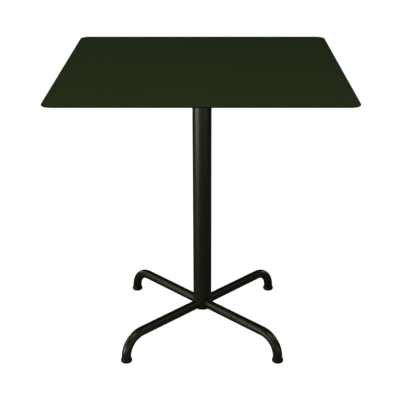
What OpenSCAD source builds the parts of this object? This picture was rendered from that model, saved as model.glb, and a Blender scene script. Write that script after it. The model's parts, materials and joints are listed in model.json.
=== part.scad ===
// Square bistro table: a bevelled laminate top on a steel spider, a round column,
// four bent tube legs and four screw-adjusted levelling glides.
//
// Frame: origin on the floor under the column axis, +Z up, front of the table towards -Y.
// The legs run out along the diagonals, one under each corner of the top.

/* [Table top] */
// Side of the square top
top_w = 700; // [600:10:800]
// Height of the top surface above the floor
table_h = 740; // [680:5:780]
// Thickness of the laminate panel
top_t = 10; // [9.5:0.5:13]
// Height of the upright nose above the bevel
nose_t = 3; // [2:0.5:5]
// Inward run of the bevel under the edge
bevel_run = 23; // [8:1:23]
// Radius of the four corners, seen from above
corner_r = 24; // [24:1:40]

/* [Column] */
// Outside diameter of the column
column_d = 50; // [44:1:50]
// Wall of the column tube
column_wall = 2; // [1.5:0.5:3]

/* [Legs] */
// Centre distance between neighbouring feet
foot_pitch = 395; // [360:5:440]
// Outside diameter of the leg tube
leg_d = 25; // [25:1:28]
// Wall of the leg tube
leg_wall = 2; // [1.5:0.25:2]
// Height of the straight run's centre line above the floor
leg_z = 67.5; // [67.5:0.5:80]
// Centre line radius of the bend at the foot
bend_r = 54; // [45:1:54]

/* [Spider] */
// Distance from the column axis to an arm's tip
arm_reach = 190; // [170:5:220]
// Width of an arm at the column
arm_root_w = 44; // [44:1:50]
// Width of an arm at its tip
arm_tip_w = 30; // [26:1:34]
// Sheet thickness
spider_t = 3; // [2.5:0.5:4]
// Depth of the folded flanges at the column
flange_h = 14; // [10:1:20]
// Depth of the folded flanges at the tip
flange_tip_h = 7; // [5:1:9]

/* [Levelling glides] */
// Largest diameter of a glide
glide_d = 30; // [28:1:32]
// Diameter of the face that stands on the floor
glide_foot_d = 23; // [21:1:24]
// Nominal thread diameter of the glide stem
stem_d = 8; // [8:2:10]

/* [Hidden] */
$fn = 96;
eps = 0.01;

// Directions of the four legs, in degrees from +X
front_left = 225;
front_right = 315;
rear_left = 135;
rear_right = 45;
leg_angles = [front_left, front_right, rear_left, rear_right];

paint = [0.15, 0.19, 0.12];
laminate = [0.15, 0.18, 0.11];
black_plastic = [0.05, 0.05, 0.05];
zinc = [0.72, 0.73, 0.75];
brass = [0.78, 0.62, 0.28];

// Heights of the stack, from the floor up. A paint film's gap parts the spider from the panel
seat_gap = 0.05;
cap_flange_t = 2;
column_bottom_z = leg_z - leg_d / 2 + 1;
panel_z = table_h - top_t;
spider_top_z = panel_z - seat_gap;
web_z = spider_top_z - spider_t;

// Column
column_r = column_d / 2;
column_bore_r = column_r - column_wall;
cap_plug_h = 14;
cap_plug_wall = 2;
cap_fillet_r = 1;
cap_rib_h = 1.2;
cap_rib_reach = 0.6;
cap_rib_pitch = 4;

// Legs: the tube ends where the bend has turned straight down
leg_r = leg_d / 2;
leg_bore_r = leg_r - leg_wall;
foot_r = foot_pitch / sqrt(2);
bend_x = foot_r - bend_r;
tube_end_z = leg_z - bend_r;
weld_gap = 0.1;
cope_depth = 6;

// Fixings between the spider and the panel: M6 button head screws in blind inserts
screw_radii = [95, 160];
screw_r = 3;
screw_l = 12;
screw_hole_r = 3.5;
head_r = 5.25;
head_h = 3.3;
head_dome_r = 6.8;
socket_af = 4;
socket_depth = 2;
washer_r = 6;
washer_t = 1.6;
washer_play = 0.2;
insert_r = 4.5;
insert_l = 7.5;
insert_hole_l = 8;

// Levelling glides: a plug in the tube's end, a threaded sleeve in it, a pad and its stem
joint_gap = 0.2;
stem_gap = 0.04;
plug_flange_t = 1;
plug_mouth_h = 4;
plug_core_h = 13.5;
plug_rib_t = 1.2;
plug_rib_zs = [6, 9.5];
plug_play = 0.15;
sleeve_wall = 1.5;
sleeve_l = 10;
sleeve_r = stem_d / 2 + sleeve_wall;
plug_core_r = sleeve_r + 2;
pad_top_z = tube_end_z - plug_flange_t - joint_gap;
pad_waist_z = 5.5;
stem_top_z = tube_end_z + 23.5;
stem_head_r = stem_d / 2 + 2;
stem_head_z = 5.6;
stem_head_h = 3;
key_hole_r = 3.5;
key_af = 5;
key_depth = 2;

// ---------- Shared shapes ----------

// Turns its children so that +X runs out along one leg
module along_leg(angle) {
    rotate([0, 0, angle]) children();
}

// Places its children on one foot's upright axis
module on_foot_axis(angle) {
    along_leg(angle) translate([foot_r, 0, 0]) children();
}

// Places its children at every screw position, at z = 0
module at_screws() {
    for (angle = leg_angles, r = screw_radii)
        along_leg(angle) translate([r, 0, 0]) children();
}

module tube_ring(outer, inner) {
    difference() {
        circle(r = outer);
        circle(r = inner);
    }
}

// Square outline with round corners
module rounded_square(w, r) {
    square([w, w - 2 * r], center = true);
    square([w - 2 * r, w], center = true);
    for (x = [-1, 1], y = [-1, 1])
        translate([x * (w / 2 - r), y * (w / 2 - r)]) circle(r = r);
}

// Hexagon with a given width across its flats
module hexagon(af) {
    circle(r = af / sqrt(3), $fn = 6);
}

// How far the leg's centre line has moved towards the column, at height h above the tube's end
function bend_shift(h) = bend_r - sqrt(bend_r * bend_r - h * h);

// ---------- Top ----------

// The bevelled underside: four sloping sides that meet in quarter cones at the corners
module bevelled_base() {
    h = top_t - nose_t;
    inner = top_w - 2 * corner_r;
    side = [[0, 0], [corner_r - bevel_run, 0], [corner_r, h], [0, h]];
    translate([-inner / 2, -inner / 2, 0]) cube([inner, inner, h]);
    for (k = [0:3]) rotate([0, 0, 90 * k]) {
        translate([inner / 2, inner / 2, 0]) rotate([90, 0, 0])
            linear_extrude(height = inner) polygon(side);
        translate([inner / 2, inner / 2, 0]) rotate_extrude(angle = 90) polygon(side);
    }
}

module table_top() {
    color(laminate) difference() {
        union() {
            translate([0, 0, table_h - nose_t])
                linear_extrude(height = nose_t) rounded_square(top_w, corner_r);
            translate([0, 0, panel_z]) bevelled_base();
        }
        translate([0, 0, panel_z - eps]) at_screws()
            cylinder(r = insert_r + seat_gap, h = insert_hole_l + eps);
    }
}

// One arm of the pressed spider along +X: a web under the panel and two folded flanges
module spider_arm() {
    root = arm_root_w / 2;
    tip = arm_tip_w / 2;
    tip_x = arm_reach - tip;
    translate([0, 0, web_z]) linear_extrude(height = spider_t) {
        polygon([[0, -root], [root, -root], [tip_x, -tip], [tip_x, tip], [root, root], [0, root]]);
        translate([tip_x, 0]) circle(r = tip);
    }
    difference() {
        translate([0, 0, panel_z - flange_h]) linear_extrude(height = flange_h - 2 * seat_gap)
            for (s = [0, 1]) mirror([0, s]) polygon([
                [root - spider_t, root], [root, root], [tip_x, tip],
                [tip_x, tip - spider_t], [root, root - spider_t], [root - spider_t, root - spider_t]
            ]);
        // The flanges get shallower from the column towards the tip
        rotate([90, 0, 0]) linear_extrude(height = 2 * arm_root_w, center = true) polygon([
            [2 * root, panel_z - flange_h], [tip_x + eps, panel_z - flange_tip_h],
            [tip_x + eps, panel_z - 2 * flange_h], [2 * root, panel_z - 2 * flange_h]
        ]);
    }
}

module top_spider() {
    color(paint) difference() {
        union() for (angle = leg_angles) along_leg(angle) spider_arm();
        translate([0, 0, web_z - eps]) at_screws()
            cylinder(r = screw_hole_r, h = spider_t + 2 * eps);
    }
}

module screw_washers() {
    color(zinc) translate([0, 0, web_z - washer_t]) at_screws()
        linear_extrude(height = washer_t) tube_ring(washer_r, screw_r + washer_play);
}

// Button head screw with a hexagon socket, head down
module top_screws() {
    color(zinc) translate([0, 0, web_z - washer_t]) at_screws() difference() {
        union() {
            cylinder(r = screw_r - stem_gap, h = screw_l);
            rotate_extrude() intersection() {
                translate([0, -head_h]) square([head_r, head_h]);
                translate([0, head_dome_r - head_h]) circle(r = head_dome_r);
            }
        }
        translate([0, 0, -head_h - eps]) linear_extrude(height = socket_depth) hexagon(socket_af);
    }
}

module threaded_inserts() {
    color(brass) translate([0, 0, panel_z]) at_screws()
        linear_extrude(height = insert_l) tube_ring(insert_r, screw_r);
}

// ---------- Column ----------

module column_tube() {
    color(paint) translate([0, 0, column_bottom_z]) linear_extrude(height = web_z - column_bottom_z)
        tube_ring(column_r, column_bore_r);
}

// Plastic plug that closes the column from below
module column_end_cap() {
    rib_r = column_bore_r - seat_gap;
    plug_r = rib_r - cap_rib_reach;
    color(black_plastic) translate([0, 0, column_bottom_z - cap_flange_t]) rotate_extrude()
        difference() {
            union() {
                square([column_r - cap_fillet_r, cap_flange_t]);
                translate([0, cap_fillet_r]) square([column_r, cap_flange_t - cap_fillet_r]);
                translate([column_r - cap_fillet_r, cap_fillet_r]) circle(r = cap_fillet_r);
                translate([0, cap_flange_t - eps]) square([plug_r, cap_plug_h + eps]);
                for (k = [0:2]) translate([0, cap_flange_t + cap_rib_h + k * cap_rib_pitch])
                    square([rib_r, cap_rib_h]);
            }
            translate([-eps, cap_flange_t]) square([plug_r - cap_plug_wall + eps, cap_plug_h + eps]);
        }
}

// ---------- Legs ----------

// A leg: a level run, coped to the column, then a quarter bend down to the foot
module leg(angle) {
    color(paint) along_leg(angle) difference() {
        union() {
            translate([column_r - cope_depth, 0, leg_z]) rotate([0, 90, 0])
                linear_extrude(height = bend_x - column_r + cope_depth) tube_ring(leg_r, leg_bore_r);
            translate([bend_x, 0, tube_end_z]) rotate([90, 0, 0]) rotate_extrude(angle = 90)
                translate([bend_r, 0]) tube_ring(leg_r, leg_bore_r);
        }
        cylinder(r = column_r + weld_gap, h = 2 * leg_z);
    }
}

// ---------- Levelling glides ----------

// Plastic plug in the tube's end. Its ribs get smaller upwards, because the tube is bent there
module foot_insert(angle) {
    mouth_r = leg_bore_r - bend_shift(plug_mouth_h) - plug_play;
    color(black_plastic) on_foot_axis(angle) translate([0, 0, tube_end_z])
    rotate_extrude() difference() {
        union() {
            translate([0, -plug_flange_t]) square([leg_r, plug_flange_t]);
            translate([0, -eps]) square([mouth_r, plug_mouth_h + eps]);
            square([plug_core_r, plug_core_h]);
            for (z = plug_rib_zs) translate([0, z])
                square([leg_bore_r - bend_shift(z + plug_rib_t) - plug_play, plug_rib_t]);
        }
        translate([-eps, -plug_flange_t - eps]) square([stem_d / 2 + seat_gap + eps, 2 * plug_core_h]);
        translate([-eps, plug_core_h - sleeve_l])
            square([sleeve_r + seat_gap + eps, sleeve_l + eps]);
    }
}

// Steel sleeves in the four plugs, which the stems are screwed into
module glide_sleeves() {
    color(zinc) translate([0, 0, tube_end_z + plug_core_h - sleeve_l]) for (angle = leg_angles)
        on_foot_axis(angle) linear_extrude(height = sleeve_l) tube_ring(sleeve_r, stem_d / 2);
}

// Plastic foot: a flat sole, a rounded rim, and a shoulder that flares in to the tube's width
module glide_pad(angle) {
    rim_r = glide_d / 2;
    sole_r = glide_foot_d / 2;
    rim_fillet = rim_r - sole_r;
    flare_h = pad_top_z - pad_waist_z;
    flare_in = rim_r - leg_r;
    flare_r = (flare_h * flare_h + flare_in * flare_in) / (4 * flare_in);
    color(black_plastic) on_foot_axis(angle) rotate_extrude() difference() {
        union() {
            square([sole_r, pad_top_z]);
            translate([sole_r, rim_fillet]) circle(r = rim_fillet);
            translate([0, rim_fillet]) square([rim_r, pad_waist_z - rim_fillet]);
            // The flare: a convex arc below and a hollow arc above, which meet half way
            intersection() {
                translate([rim_r - flare_r, pad_waist_z]) circle(r = flare_r);
                translate([0, pad_waist_z - eps]) square([rim_r, flare_h / 2 + eps]);
            }
            difference() {
                translate([0, pad_waist_z + flare_h / 2]) square([rim_r, flare_h / 2]);
                translate([leg_r + flare_r, pad_top_z]) circle(r = flare_r);
            }
        }
        translate([-eps, -eps]) square([key_hole_r + eps, stem_head_z]);
        translate([-eps, stem_head_z - stem_gap])
            square([stem_head_r + stem_gap + eps, stem_head_h + 2 * stem_gap]);
        translate([-eps, stem_head_z]) square([stem_d / 2 + eps, pad_top_z]);
    }
}

// Threaded stem: its head swivels in the pad, and a hexagon key turns it from below
module glide_stem(angle) {
    color(zinc) on_foot_axis(angle) difference() {
        union() {
            translate([0, 0, stem_head_z]) cylinder(r = stem_head_r, h = stem_head_h);
            translate([0, 0, stem_head_z])
                cylinder(r = stem_d / 2 - stem_gap, h = stem_top_z - stem_head_z);
        }
        translate([0, 0, stem_head_z - eps]) linear_extrude(height = key_depth) hexagon(key_af);
    }
}

// ---------- Nodes ----------

table_top();
top_spider();
top_screws();
screw_washers();
threaded_inserts();
column_tube();
column_end_cap();
glide_sleeves();
leg(front_left);  // leg_front_left
leg(front_right);  // leg_front_right
leg(rear_left);  // leg_rear_left
leg(rear_right);  // leg_rear_right
foot_insert(front_left);  // foot_insert_front_left
foot_insert(front_right);  // foot_insert_front_right
foot_insert(rear_left);  // foot_insert_rear_left
foot_insert(rear_right);  // foot_insert_rear_right
glide_pad(front_left);  // glide_pad_front_left
glide_pad(front_right);  // glide_pad_front_right
glide_pad(rear_left);  // glide_pad_rear_left
glide_pad(rear_right);  // glide_pad_rear_right
glide_stem(front_left);  // glide_stem_front_left
glide_stem(front_right);  // glide_stem_front_right
glide_stem(rear_left);  // glide_stem_rear_left
glide_stem(rear_right);  // glide_stem_rear_right
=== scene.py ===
import json
import math

import bmesh
import bpy
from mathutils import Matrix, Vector


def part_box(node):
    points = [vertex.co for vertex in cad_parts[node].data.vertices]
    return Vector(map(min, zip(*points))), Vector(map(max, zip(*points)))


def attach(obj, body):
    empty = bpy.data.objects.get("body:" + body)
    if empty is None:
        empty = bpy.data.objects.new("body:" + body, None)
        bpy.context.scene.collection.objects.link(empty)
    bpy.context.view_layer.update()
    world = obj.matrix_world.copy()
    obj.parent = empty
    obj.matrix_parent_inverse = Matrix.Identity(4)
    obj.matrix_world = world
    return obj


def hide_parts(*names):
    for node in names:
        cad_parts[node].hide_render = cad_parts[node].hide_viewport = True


# Looks for the square bistro table: edge rounding, weld beads, screw threads, materials, studio and camera.
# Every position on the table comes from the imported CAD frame, where the front is -Y and up is +Z.
# Lengths are metres and colours are linear.

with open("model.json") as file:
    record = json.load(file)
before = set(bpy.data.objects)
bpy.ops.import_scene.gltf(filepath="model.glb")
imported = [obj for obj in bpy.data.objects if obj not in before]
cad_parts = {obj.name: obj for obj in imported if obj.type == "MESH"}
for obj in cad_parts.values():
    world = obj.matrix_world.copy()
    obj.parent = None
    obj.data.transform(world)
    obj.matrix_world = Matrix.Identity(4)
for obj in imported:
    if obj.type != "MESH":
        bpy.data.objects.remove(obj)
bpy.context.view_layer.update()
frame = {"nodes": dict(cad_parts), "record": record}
NODES = frame["nodes"]
COUPLINGS = frame["record"]["behaviour"]["couplings"]
CORNERS = ("front_left", "front_right", "rear_left", "rear_right")
MM = 0.001

# ---------- Sizes read from the frame ----------

top_low, top_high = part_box("table_top")
column_low, column_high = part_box("column_tube")
leg_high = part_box("leg_front_left")[1]
insert_low, insert_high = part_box("foot_insert_front_left")

column_r = column_high.x
leg_r = (insert_high.x - insert_low.x) / 2
leg_z = leg_high.z - leg_r
thread_pitch = 2 * math.pi * COUPLINGS[0]["ratio"]


def plan_centre(name):
    """The middle of a node's box in plan, at floor level."""
    low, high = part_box(name)
    return Vector(((low.x + high.x) / 2, (low.y + high.y) / 2, 0))


# ---------- Shader node helpers ----------

def set_socket(tree, socket, value):
    """Links a socket to another socket, or sets its value."""
    if isinstance(value, bpy.types.NodeSocket):
        tree.links.new(value, socket)
    else:
        socket.default_value = value


def add_node(tree, kind, inputs=None, **settings):
    """Adds one shader node with its settings and inputs."""
    node = tree.nodes.new("ShaderNode" + kind)
    for name, value in settings.items():
        setattr(node, name, value)
    for key, value in (inputs or {}).items():
        set_socket(tree, node.inputs[key], value)
    return node


def noise(tree, coords, scale, detail=2.0, roughness=0.5):
    """Noise with this many cells a metre."""
    inputs = {"Vector": coords, "Scale": scale, "Detail": detail, "Roughness": roughness}
    return add_node(tree, "TexNoise", inputs).outputs["Fac"]


def layers(tree, coords, across, upward):
    """Noise with this many cells a metre across and upward, for thin level layers and turning marks."""
    stretched = add_node(tree, "Mapping", {"Vector": coords, "Scale": (across, across, upward)})
    return noise(tree, stretched.outputs[0], scale=1, detail=2)


def spread(tree, value, low, high, to_low=0.0, to_high=1.0):
    """Maps low..high of a value onto to_low..to_high."""
    inputs = {"Value": value, "From Min": low, "From Max": high, "To Min": to_low, "To Max": to_high}
    return add_node(tree, "MapRange", inputs).outputs["Result"]


def maths(tree, operation, first, second):
    return add_node(tree, "Math", {0: first, 1: second}, operation=operation).outputs[0]


def plus(tree, first, second):
    return maths(tree, "ADD", first, second)


def times(tree, first, second):
    return maths(tree, "MULTIPLY", first, second)


def mix_colour(tree, factor, first, second):
    """Mixes two colours, each an output socket or an (r, g, b) tuple."""
    node = add_node(tree, "Mix", {"Factor": factor}, data_type="RGBA")
    for key, value in ((6, first), (7, second)):
        plain = isinstance(value, tuple)
        set_socket(tree, node.inputs[key], (*value, 1.0) if plain else value)
    return node.outputs[2]


def bump(tree, height, distance, normal=None, strength=1.0):
    """Bumps the surface by this distance, on top of another bump when its normal is given."""
    inputs = {"Height": height, "Distance": distance, "Strength": strength}
    if normal is not None:
        inputs["Normal"] = normal
    return add_node(tree, "Bump", inputs).outputs["Normal"]


def new_material(name):
    """A new material. Returns it with its node tree, its shader and the object coordinates."""
    material = bpy.data.materials.new(name)
    material.use_nodes = True
    tree = material.node_tree
    shader = tree.nodes["Principled BSDF"]
    coords = add_node(tree, "TexCoord").outputs["Object"]
    return material, tree, shader, coords


def connect(tree, shader, **sockets):
    """Links or sets the shader's inputs, with underscores for the spaces in their names."""
    for key, value in sockets.items():
        set_socket(tree, shader.inputs[key.replace("_", " ")], value)


# ---------- Materials ----------

# Tints of the gloss, as red, green, blue and alpha
COAT_TINT = (0.90, 1.0, 0.70, 1.0)
MATT_TINT = (0.88, 1.0, 0.75, 1.0)


def powder_coat():
    """Satin dark green powder coat: orange peel, a fine grit in the gloss and faint rubbed patches."""
    dark = (0.0046, 0.0082, 0.0006)
    light = (0.0058, 0.0096, 0.0012)
    rubbed_colour = (0.013, 0.018, 0.006)
    material, tree, shader, coords = new_material("powder_coat_green_finish")
    tone = noise(tree, coords, scale=9, detail=3)
    grit = noise(tree, coords, scale=2600, detail=1)
    peel = noise(tree, coords, scale=680, detail=2)
    patches = noise(tree, coords, scale=55, detail=5, roughness=0.65)
    rubbed = spread(tree, patches, 0.62, 0.78)
    colour = mix_colour(tree, spread(tree, tone, 0.3, 0.7), dark, light)
    colour = mix_colour(tree, times(tree, rubbed, 0.25), colour, rubbed_colour)
    grit_gloss = spread(tree, grit, 0.2, 0.8, to_low=0.31, to_high=0.37)
    gloss = plus(tree, grit_gloss, times(tree, rubbed, 0.06))
    normal = bump(tree, peel, 0.06 * MM)
    normal = bump(tree, grit, 0.012 * MM, normal)
    connect(tree, shader, Base_Color=colour, Roughness=gloss, Normal=normal, IOR=1.5)
    connect(tree, shader, Specular_Tint=COAT_TINT)
    return material


def laminate():
    """Compact laminate: a matt green decor with a fine mineral grain, over a nearly black layered core."""
    decor_dark = (0.0307, 0.0518, 0.0125)
    decor_light = (0.0343, 0.0568, 0.0145)
    decor_grain = (0.0470, 0.0737, 0.0220)
    core_dark = (0.0034, 0.0040, 0.0014)
    core_light = (0.0056, 0.0066, 0.0024)
    skin = 0.12 * MM
    material, tree, shader, coords = new_material("laminate_green_finish")
    height = add_node(tree, "SeparateXYZ", {0: coords}).outputs["Z"]
    below_top = maths(tree, "LESS_THAN", height, top_high.z - skin)
    above_base = maths(tree, "GREATER_THAN", height, top_low.z + skin)
    core = times(tree, below_top, above_base)
    cloud = noise(tree, coords, scale=6, detail=4, roughness=0.55)
    grain = noise(tree, coords, scale=1500, detail=3, roughness=0.6)
    pores = noise(tree, coords, scale=520, detail=2)
    paper = layers(tree, coords, across=14, upward=3800)
    decor = mix_colour(tree, spread(tree, cloud, 0.3, 0.7), decor_dark, decor_light)
    decor = mix_colour(tree, spread(tree, grain, 0.40, 0.62), decor, decor_grain)
    core_colour = mix_colour(tree, spread(tree, paper, 0.3, 0.7), core_dark, core_light)
    colour = mix_colour(tree, core, decor, core_colour)
    grain_gloss = spread(tree, grain, 0.25, 0.75, to_low=0.42, to_high=0.52)
    gloss = plus(tree, grain_gloss, times(tree, core, 0.2))
    shine = spread(tree, core, 0, 1, to_low=0.5, to_high=0.2)
    relief = plus(tree, times(tree, grain, 0.6), times(tree, pores, 0.4))
    normal = bump(tree, relief, 0.09 * MM)
    connect(tree, shader, Base_Color=colour, Roughness=gloss, Normal=normal, IOR=1.45)
    connect(tree, shader, Specular_IOR_Level=shine, Specular_Tint=MATT_TINT)
    return material


def moulded_plastic():
    """Black moulded plastic with an eroded grain, a little worn and dusty near the floor."""
    black = (0.0040, 0.0044, 0.0036)
    dusty = (0.030, 0.030, 0.026)
    dust_h = 6 * MM
    material, tree, shader, coords = new_material("black_plastic_finish")
    height = add_node(tree, "SeparateXYZ", {0: coords}).outputs["Z"]
    grain = noise(tree, coords, scale=2400, detail=2, roughness=0.6)
    scuff = noise(tree, coords, scale=260, detail=5, roughness=0.7)
    near_floor = spread(tree, height, 0.0, dust_h, to_low=1, to_high=0)
    worn = times(tree, near_floor, spread(tree, scuff, 0.5, 0.72))
    colour = mix_colour(tree, times(tree, worn, 0.5), black, dusty)
    grain_gloss = spread(tree, grain, 0.2, 0.8, to_low=0.40, to_high=0.52)
    gloss = plus(tree, grain_gloss, times(tree, worn, 0.25))
    normal = bump(tree, grain, 0.03 * MM)
    normal = bump(tree, scuff, 0.05 * MM, normal, strength=0.4)
    connect(tree, shader, Base_Color=colour, Roughness=gloss, Normal=normal, IOR=1.5)
    connect(tree, shader, Specular_IOR_Level=0.25, Specular_Tint=MATT_TINT)
    return material


def zinc():
    """Bright zinc plate, passivated slightly blue and yellow, with fine turning marks."""
    bluish = (0.56, 0.58, 0.62)
    yellowish = (0.66, 0.64, 0.58)
    material, tree, shader, coords = new_material("zinc_steel_finish")
    stain = noise(tree, coords, scale=160, detail=4, roughness=0.6)
    turned = layers(tree, coords, across=300, upward=9000)
    colour = mix_colour(tree, spread(tree, stain, 0.35, 0.65), bluish, yellowish)
    stain_gloss = spread(tree, stain, 0.3, 0.7, to_low=0.24, to_high=0.36)
    turned_gloss = spread(tree, turned, 0.3, 0.7, to_low=0, to_high=0.06)
    gloss = plus(tree, stain_gloss, turned_gloss)
    normal = bump(tree, turned, 0.01 * MM)
    connect(tree, shader, Base_Color=colour, Metallic=1.0, Roughness=gloss, Normal=normal)
    return material


def machined_brass():
    """Machined brass, slightly tarnished in patches."""
    bright = (0.72, 0.50, 0.20)
    dull = (0.42, 0.27, 0.11)
    material, tree, shader, coords = new_material("brass_finish")
    tarnish = noise(tree, coords, scale=220, detail=4, roughness=0.6)
    tool_marks = noise(tree, coords, scale=3000, detail=1)
    colour = mix_colour(tree, spread(tree, tarnish, 0.35, 0.7), bright, dull)
    gloss = spread(tree, tarnish, 0.3, 0.7, to_low=0.22, to_high=0.42)
    normal = bump(tree, tool_marks, 0.02 * MM)
    connect(tree, shader, Base_Color=colour, Metallic=1.0, Roughness=gloss, Normal=normal)
    return material


FINISHES = {
    "powder_coat_green": powder_coat(),
    "laminate_green": laminate(),
    "black_plastic": moulded_plastic(),
    "zinc_steel": zinc(),
    "brass": machined_brass(),
}

# ---------- CAD nodes: finishes and rounded edges ----------

# Nodes whose sharp edges are rounded, with the radius and the segments across it
ROUNDED = {
    "table_top": (0.6 * MM, 3),
    "top_spider": (0.8 * MM, 3),
    "column_tube": (0.3 * MM, 2),
}
# Points this close are joined, faces within this angle are merged, and edges past this angle are rounded
SAME_POINT = 0.001 * MM
FLAT_ANGLE = math.radians(0.5)
SHARP_ANGLE = math.radians(30)


def join_faces(piece):
    """Joins the faces of a CAD node along their shared edges."""
    weld = piece.modifiers.new("join_faces", "WELD")
    weld.merge_threshold = SAME_POINT


def round_edges(piece, radius, segments):
    """Rounds a CAD node's sharp edges with modifiers, so its own mesh stays as packed."""
    flat = piece.modifiers.new("merge_flat_faces", "DECIMATE")
    flat.decimate_type = "DISSOLVE"
    flat.angle_limit = FLAT_ANGLE
    edge = piece.modifiers.new("rounded_edges", "BEVEL")
    edge.width = radius
    edge.segments = segments
    edge.limit_method = "ANGLE"
    edge.angle_limit = SHARP_ANGLE
    edge.use_clamp_overlap = False


def even_shading(piece):
    """Shades curved faces smoothly and leaves flat faces flat."""
    shading = piece.modifiers.new("even_shading", "WEIGHTED_NORMAL")
    shading.keep_sharp = True


for name, piece in NODES.items():
    for slot in piece.material_slots:
        slot.material = FINISHES[slot.material.name]
    join_faces(piece)
    if name in ROUNDED:
        round_edges(piece, *ROUNDED[name])
    even_shading(piece)

# ---------- New pieces ----------

# Points this close in a new piece are joined, and edges up to this angle are shaded smoothly
CLOSE_POINTS = 0.0005 * MM
SMOOTH_ANGLE = math.radians(35)


def add_piece(name, vertices, faces, finish, body):
    """Makes a closed, smooth mesh piece that rides on a CAD body."""
    mesh = bpy.data.meshes.new(name)
    mesh.from_pydata(vertices, [], faces)
    work = bmesh.new()
    work.from_mesh(mesh)
    bmesh.ops.remove_doubles(work, verts=work.verts, dist=CLOSE_POINTS)
    bmesh.ops.dissolve_degenerate(work, edges=work.edges, dist=CLOSE_POINTS)
    bmesh.ops.recalc_face_normals(work, faces=work.faces)
    work.to_mesh(mesh)
    work.free()
    mesh.shade_smooth()
    mesh.set_sharp_from_angle(angle=SMOOTH_ANGLE)
    mesh.materials.append(FINISHES[finish])
    piece = bpy.data.objects.new(name, mesh)
    bpy.context.scene.collection.objects.link(piece)
    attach(piece, body)
    return piece


def tube_faces(rows, columns, closed=False):
    """Faces over rows of points, each row a ring. The last row joins the first when closed, else both ends
    are capped."""
    last = rows if closed else rows - 1
    faces = [
        (
            r * columns + c,
            r * columns + (c + 1) % columns,
            (r + 1) % rows * columns + (c + 1) % columns,
            (r + 1) % rows * columns + c,
        )
        for r in range(last)
        for c in range(columns)
    ]
    if not closed:
        faces.append(tuple(range(columns)))
        faces.append(tuple((rows - 1) * columns + c for c in range(columns)))
    return faces


# ---------- Threaded stems ----------

# Points round each ring of a stem
STEM_COLUMNS = 48
CREST_R = 3.96 * MM
THREAD_DEPTH = 0.61 * thread_pitch
ROOT_R = CREST_R - THREAD_DEPTH
# Lengths over which the thread rises out of the shank and runs out at the tip
FADE_IN = thread_pitch
FADE_OUT = 0.6 * thread_pitch
# The corners of the thread's profile, as shares of the pitch, with the radius at each
PROFILE = ((0.0, CREST_R), (0.125, CREST_R), (0.4375, ROOT_R), (0.6875, ROOT_R))


def plain_ring(radius, height):
    """A round, level ring. A ring is a function of the angle that gives (radius, height)."""
    return lambda angle: (radius, height)


def hexagon_ring(across_flats, height):
    """A ring in the shape of a hexagon, for the key socket."""
    sector = math.pi / 3

    def ring(angle):
        off_middle = (angle + sector / 2) % sector - sector / 2
        return across_flats / 2 / math.cos(off_middle), height
    return ring


def thread_rings(first, last):
    """Rings that follow the thread's profile round the helix, faded out at both ends."""
    turns = int((last - first) / thread_pitch) + 2

    def thread_ring(turn, share, radius):
        def ring(angle):
            height = first + thread_pitch * (turn - 1 + share + angle / (2 * math.pi))
            if height <= first or height >= last:
                return ROOT_R, min(max(height, first), last)
            fade = min(1, (height - first) / FADE_IN, (last - height) / FADE_OUT)
            return ROOT_R + (radius - ROOT_R) * fade, height
        return ring

    return [thread_ring(turn, share, radius) for turn in range(turns + 1) for share, radius in PROFILE]


def threaded_stem(corner):
    """An M8 stem with its rolled thread, in place of the plain CAD stem. The key socket faces down."""
    low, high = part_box("glide_stem_" + corner)
    centre = plan_centre("glide_stem_" + corner)
    head_r = (high.x - low.x) / 2
    head_h = 3 * MM
    chamfer = 0.4 * MM
    socket = 5 * MM
    socket_depth = 2 * MM
    socket_lead = 0.2 * MM
    fillet = 0.3 * MM
    tip_h = 0.3 * MM
    tip_run = 0.5 * MM
    neck_z = low.z + head_h
    first = neck_z + 2 * fillet
    last = high.z - tip_h
    rings = [
        hexagon_ring(socket, low.z + socket_depth),
        hexagon_ring(socket, low.z + socket_lead),
        hexagon_ring(socket + 2 * socket_lead, low.z),
        plain_ring(head_r - chamfer, low.z),
        plain_ring(head_r, low.z + chamfer),
        plain_ring(head_r, neck_z - chamfer),
        plain_ring(head_r - chamfer, neck_z),
        plain_ring(ROOT_R + fillet, neck_z),
        plain_ring(ROOT_R, neck_z + fillet),
        plain_ring(ROOT_R, first),
    ]
    rings += thread_rings(first, last)
    rings += [plain_ring(ROOT_R, last), plain_ring(ROOT_R - tip_run, high.z)]
    vertices = []
    for ring in rings:
        for c in range(STEM_COLUMNS):
            angle = 2 * math.pi * c / STEM_COLUMNS
            radius, height = ring(angle)
            x = centre.x + radius * math.cos(angle)
            y = centre.y + radius * math.sin(angle)
            vertices.append((x, y, height))
    faces = tube_faces(len(rings), STEM_COLUMNS)
    piece = add_piece("glide_thread_" + corner, vertices, faces, "zinc_steel", "stem_" + corner)
    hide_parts("glide_stem_" + corner)


# ---------- Weld beads ----------

# Points round a bead's section
BEAD_COLUMNS = 12
# A bead's height against its width
BEAD_HEIGHT = 0.75
# The ripples' spacing, and the bead's size between them and the rise at each, as shares of its full size
RIPPLE_PITCH = 1.7 * MM
RIPPLE_LOW = 0.93
RIPPLE_RISE = 0.10
# Points over which an open bead's ends round off
TAPER_POINTS = 12


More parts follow.
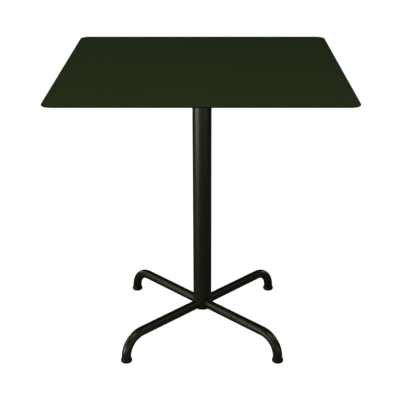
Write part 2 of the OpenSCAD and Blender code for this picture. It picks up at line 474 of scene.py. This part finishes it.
def weld_bead(name, points, normals, radius, closed):
    """A rippled weld bead along a path. Each point's normal faces away from the joint's corner."""
    count = len(points)
    vertices = []
    run = 0.0
    for i, point in enumerate(points):
        before = points[(i - 1) % count if closed else max(i - 1, 0)]
        after = points[(i + 1) % count if closed else min(i + 1, count - 1)]
        run += (point - before).length
        along = (after - before).normalized()
        out = (normals[i] - along * normals[i].dot(along)).normalized()
        side = along.cross(out)
        ripple = (run % RIPPLE_PITCH) / RIPPLE_PITCH
        size = radius * (RIPPLE_LOW + RIPPLE_RISE * ripple * ripple)
        if not closed:
            from_end = min(i + 0.5, count - i - 0.5)
            size *= math.sin(math.pi * min(0.5, from_end / TAPER_POINTS))
        for s in range(BEAD_COLUMNS):
            turn = 2 * math.pi * s / BEAD_COLUMNS
            offset = out * (BEAD_HEIGHT * size * math.cos(turn)) + side * (size * math.sin(turn))
            vertices.append(point + offset)
    faces = tube_faces(count, BEAD_COLUMNS, closed)
    add_piece(name, vertices, faces, "powder_coat_green", "table")


def leg_weld(corner):
    """The fillet weld where a leg meets the column. It stops short of the column's lower end."""
    bead_r = 2.1 * MM
    end_gap = 1.5 * MM
    steps = 190
    up = Vector((0, 0, 1))
    outward = plan_centre("foot_insert_" + corner).normalized()
    side = Vector((-outward.y, outward.x, 0))
    # How far round the leg the bead runs from the leg's highest line, on either side
    reach = math.acos((column_low.z + end_gap - leg_z) / leg_r)
    points = []
    normals = []
    for i in range(steps + 1):
        angle = reach * (2 * i / steps - 1)
        off = leg_r * math.sin(angle)
        from_axis = outward * math.sqrt(column_r ** 2 - off ** 2) + side * off
        points.append(from_axis + up * (leg_z + leg_r * math.cos(angle)))
        leg_normal = side * math.sin(angle) + up * math.cos(angle)
        normals.append(from_axis.normalized() + leg_normal)
    weld_bead("weld_leg_" + corner, points, normals, bead_r, closed=False)


def spider_weld():
    """The weld round the column's upper end, under the spider."""
    bead_r = 2.3 * MM
    offset = 0.3 * MM
    steps = 280
    up = Vector((0, 0, 1))
    points = []
    normals = []
    for i in range(steps):
        angle = 2 * math.pi * i / steps
        radial = Vector((math.cos(angle), math.sin(angle), 0))
        points.append(radial * (column_r + offset) + up * (column_high.z - offset))
        normals.append(radial - up)
    weld_bead("weld_spider", points, normals, bead_r, closed=True)


for corner in CORNERS:
    threaded_stem(corner)
    leg_weld(corner)
spider_weld()

# ---------- Studio ----------

WHITE = (1, 1, 1, 1)
# The height that the high and rear lights face
AIM_Z = 0.45
# Each light's azimuth in degrees, distance, height, width, length, power in watts and the height it faces.
SOFTBOXES = {
    "low_left_softbox": (-70, 1.8, 0.17, 0.7, 0.32, 4.9, 0.17),
    "low_left_front_softbox": (-50, 1.8, 0.17, 0.5, 0.32, 4.7, 0.17),
    "left_middle_softbox": (-86, 1.8, 0.80, 0.4, 0.35, 3.3, 0.80),
    "left_high_softbox": (-97, 1.64, 1.60, 1.1, 0.7, 3.7, AIM_Z),
    "right_high_softbox": (85, 1.64, 1.60, 1.0, 0.7, 2.6, AIM_Z),
    "low_front_softbox": (-15, 1.9, 0.25, 0.8, 0.35, 1.8, 0.25),
    "low_right_front_softbox": (28, 1.9, 0.40, 0.8, 0.5, 2.7, 0.40),
    "low_right_softbox": (60, 1.9, 0.30, 0.6, 0.4, 1.1, 0.30),
    "rear_left_softbox": (-128, 1.9, 0.58, 0.7, 0.25, 2.2, AIM_Z),
    "rear_right_softbox": (128, 1.9, 0.58, 0.7, 0.25, 2.2, AIM_Z),
    "overhead_softbox": (0, 1.25, 2.45, 1.1, 1.0, 14.2, 0.7),
}


def only_for_camera(tree, seen, hidden):
    """Mixes two shaders: what the camera sees and what every other ray sees."""
    camera_ray = add_node(tree, "LightPath").outputs["Is Camera Ray"]
    return add_node(tree, "MixShader", {0: camera_ray, 1: hidden, 2: seen}).outputs[0]


def studio_world():
    """A white backdrop for the camera, and a dim one for every other ray."""
    fill = 0.022
    world = bpy.data.worlds.new("studio")
    world.use_nodes = True
    tree = world.node_tree
    seen = add_node(tree, "Background", {"Color": WHITE, "Strength": 1.0}).outputs[0]
    hidden = add_node(tree, "Background", {"Color": WHITE, "Strength": fill}).outputs[0]
    tree.links.new(only_for_camera(tree, seen, hidden), tree.nodes["World Output"].inputs["Surface"])
    bpy.context.scene.world = world


def studio_floor():
    """A pale floor that fades into the white backdrop, shows a soft shadow and is clear from below."""
    half = 30.0
    fade_from = 0.35
    fade_to = 1.1
    glow_near = 0.90
    pale_grey = (0.85, 0.85, 0.85, 1)
    dim_grey = (0.30, 0.30, 0.30, 1)
    corners = [(-half, -half, 0), (half, -half, 0), (half, half, 0), (-half, half, 0)]
    mesh = bpy.data.meshes.new("studio_floor")
    mesh.from_pydata(corners, [], [(0, 1, 2, 3)])
    floor = bpy.data.objects.new("studio_floor", mesh)
    bpy.context.scene.collection.objects.link(floor)
    material = bpy.data.materials.new("pale_floor")
    material.use_nodes = True
    tree = material.node_tree
    tree.nodes.remove(tree.nodes["Principled BSDF"])
    coords = add_node(tree, "TexCoord").outputs["Object"]
    distance = add_node(tree, "VectorMath", {0: coords}, operation="LENGTH").outputs["Value"]
    strength = spread(tree, distance, fade_from, fade_to, to_low=glow_near, to_high=1.0)
    glow = add_node(tree, "Emission", {"Color": WHITE, "Strength": strength}).outputs[0]
    pale = add_node(tree, "BsdfDiffuse", {"Color": pale_grey}).outputs[0]
    dim = add_node(tree, "BsdfDiffuse", {"Color": dim_grey}).outputs[0]
    above = add_node(tree, "AddShader", {0: glow, 1: pale}).outputs[0]
    clear = add_node(tree, "BsdfTransparent").outputs[0]
    backfacing = add_node(tree, "NewGeometry").outputs["Backfacing"]
    seen = add_node(tree, "MixShader", {0: backfacing, 1: above, 2: clear}).outputs[0]
    tree.links.new(only_for_camera(tree, seen, dim), tree.nodes["Material Output"].inputs["Surface"])
    mesh.materials.append(material)


def softbox(name, azimuth, distance, height, width, length, power, aim_z):
    """A soft rectangular light that faces the table and stays out of the camera's sight."""
    lamp = bpy.data.lights.new(name, "AREA")
    lamp.shape = "RECTANGLE"
    lamp.size = width
    lamp.size_y = length
    lamp.energy = power
    box = bpy.data.objects.new(name, lamp)
    turn = math.radians(azimuth)
    box.location = (distance * math.sin(turn), -distance * math.cos(turn), height)
    box.rotation_euler = (Vector((0, 0, aim_z)) - box.location).to_track_quat("-Z", "Y").to_euler()
    box.visible_camera = False
    bpy.context.scene.collection.objects.link(box)


def studio_camera():
    """The main viewpoint: in front of the table, looking down at it."""
    tilt = math.radians(68.85)
    lens = bpy.data.cameras.new("camera")
    lens.sensor_width = 36
    lens.lens = 80.27
    lens.shift_x = -0.0189
    lens.shift_y = -0.0630
    camera = bpy.data.objects.new("camera", lens)
    camera.location = (0.0144, -2.1998, 1.2979)
    camera.rotation_euler = (tilt, 0, 0)
    bpy.context.scene.collection.objects.link(camera)
    bpy.context.scene.camera = camera


studio_world()
studio_floor()
for name, settings in SOFTBOXES.items():
    softbox(name, *settings)
studio_camera()
bpy.context.scene.view_settings.view_transform = "Standard"
